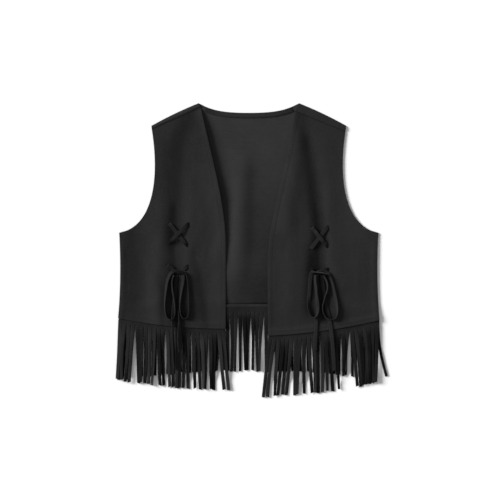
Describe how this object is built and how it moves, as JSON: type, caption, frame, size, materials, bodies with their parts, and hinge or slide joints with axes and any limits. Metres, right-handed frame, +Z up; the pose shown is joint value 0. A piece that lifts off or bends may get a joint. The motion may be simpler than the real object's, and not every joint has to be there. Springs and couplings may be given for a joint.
{
  "type": "fringed vest",
  "caption": "Open-fronted western vest in dark suede cloth, laid out flat, with a slit fringe along the hem and a laced cross and bow on each front.",
  "frame": {"origin": "on the surface the vest lies on, under the middle of the vest without its bows' loose loops and tails", "axes": "+Z up off the surface, +Y towards the neck, +X towards the wearer's left"},
  "size_m": [0.5438, 0.5876, 0.0193],
  "materials": {
    "cloth": "matt brushed suede cloth, near black",
    "inside": "matt inside face of the cloth, slightly lighter",
    "thong": "flat thong cut from the same suede cloth"
  },
  "bodies": {
    "root": {"back": "cloth", "right_front": "cloth", "left_front": "cloth", "back_fringe": "cloth", "right_front_fringe": "cloth", "left_front_fringe": "cloth", "neck_facing": "inside", "right_lace_cross_under": "thong", "right_lace_cross_over": "thong", "right_lace_knot": "thong", "right_lace_lead_outer": "thong", "right_lace_lead_inner": "thong", "right_lace_loop_outer": "thong", "right_lace_loop_inner": "thong", "right_lace_tail_outer": "thong", "right_lace_tail_inner": "thong", "left_lace_cross_under": "thong", "left_lace_cross_over": "thong", "left_lace_knot": "thong", "left_lace_lead_outer": "thong", "left_lace_lead_inner": "thong", "left_lace_loop_outer": "thong", "left_lace_loop_inner": "thong", "left_lace_tail_outer": "thong", "left_lace_tail_inner": "thong"}
  },
  "joints": []
}
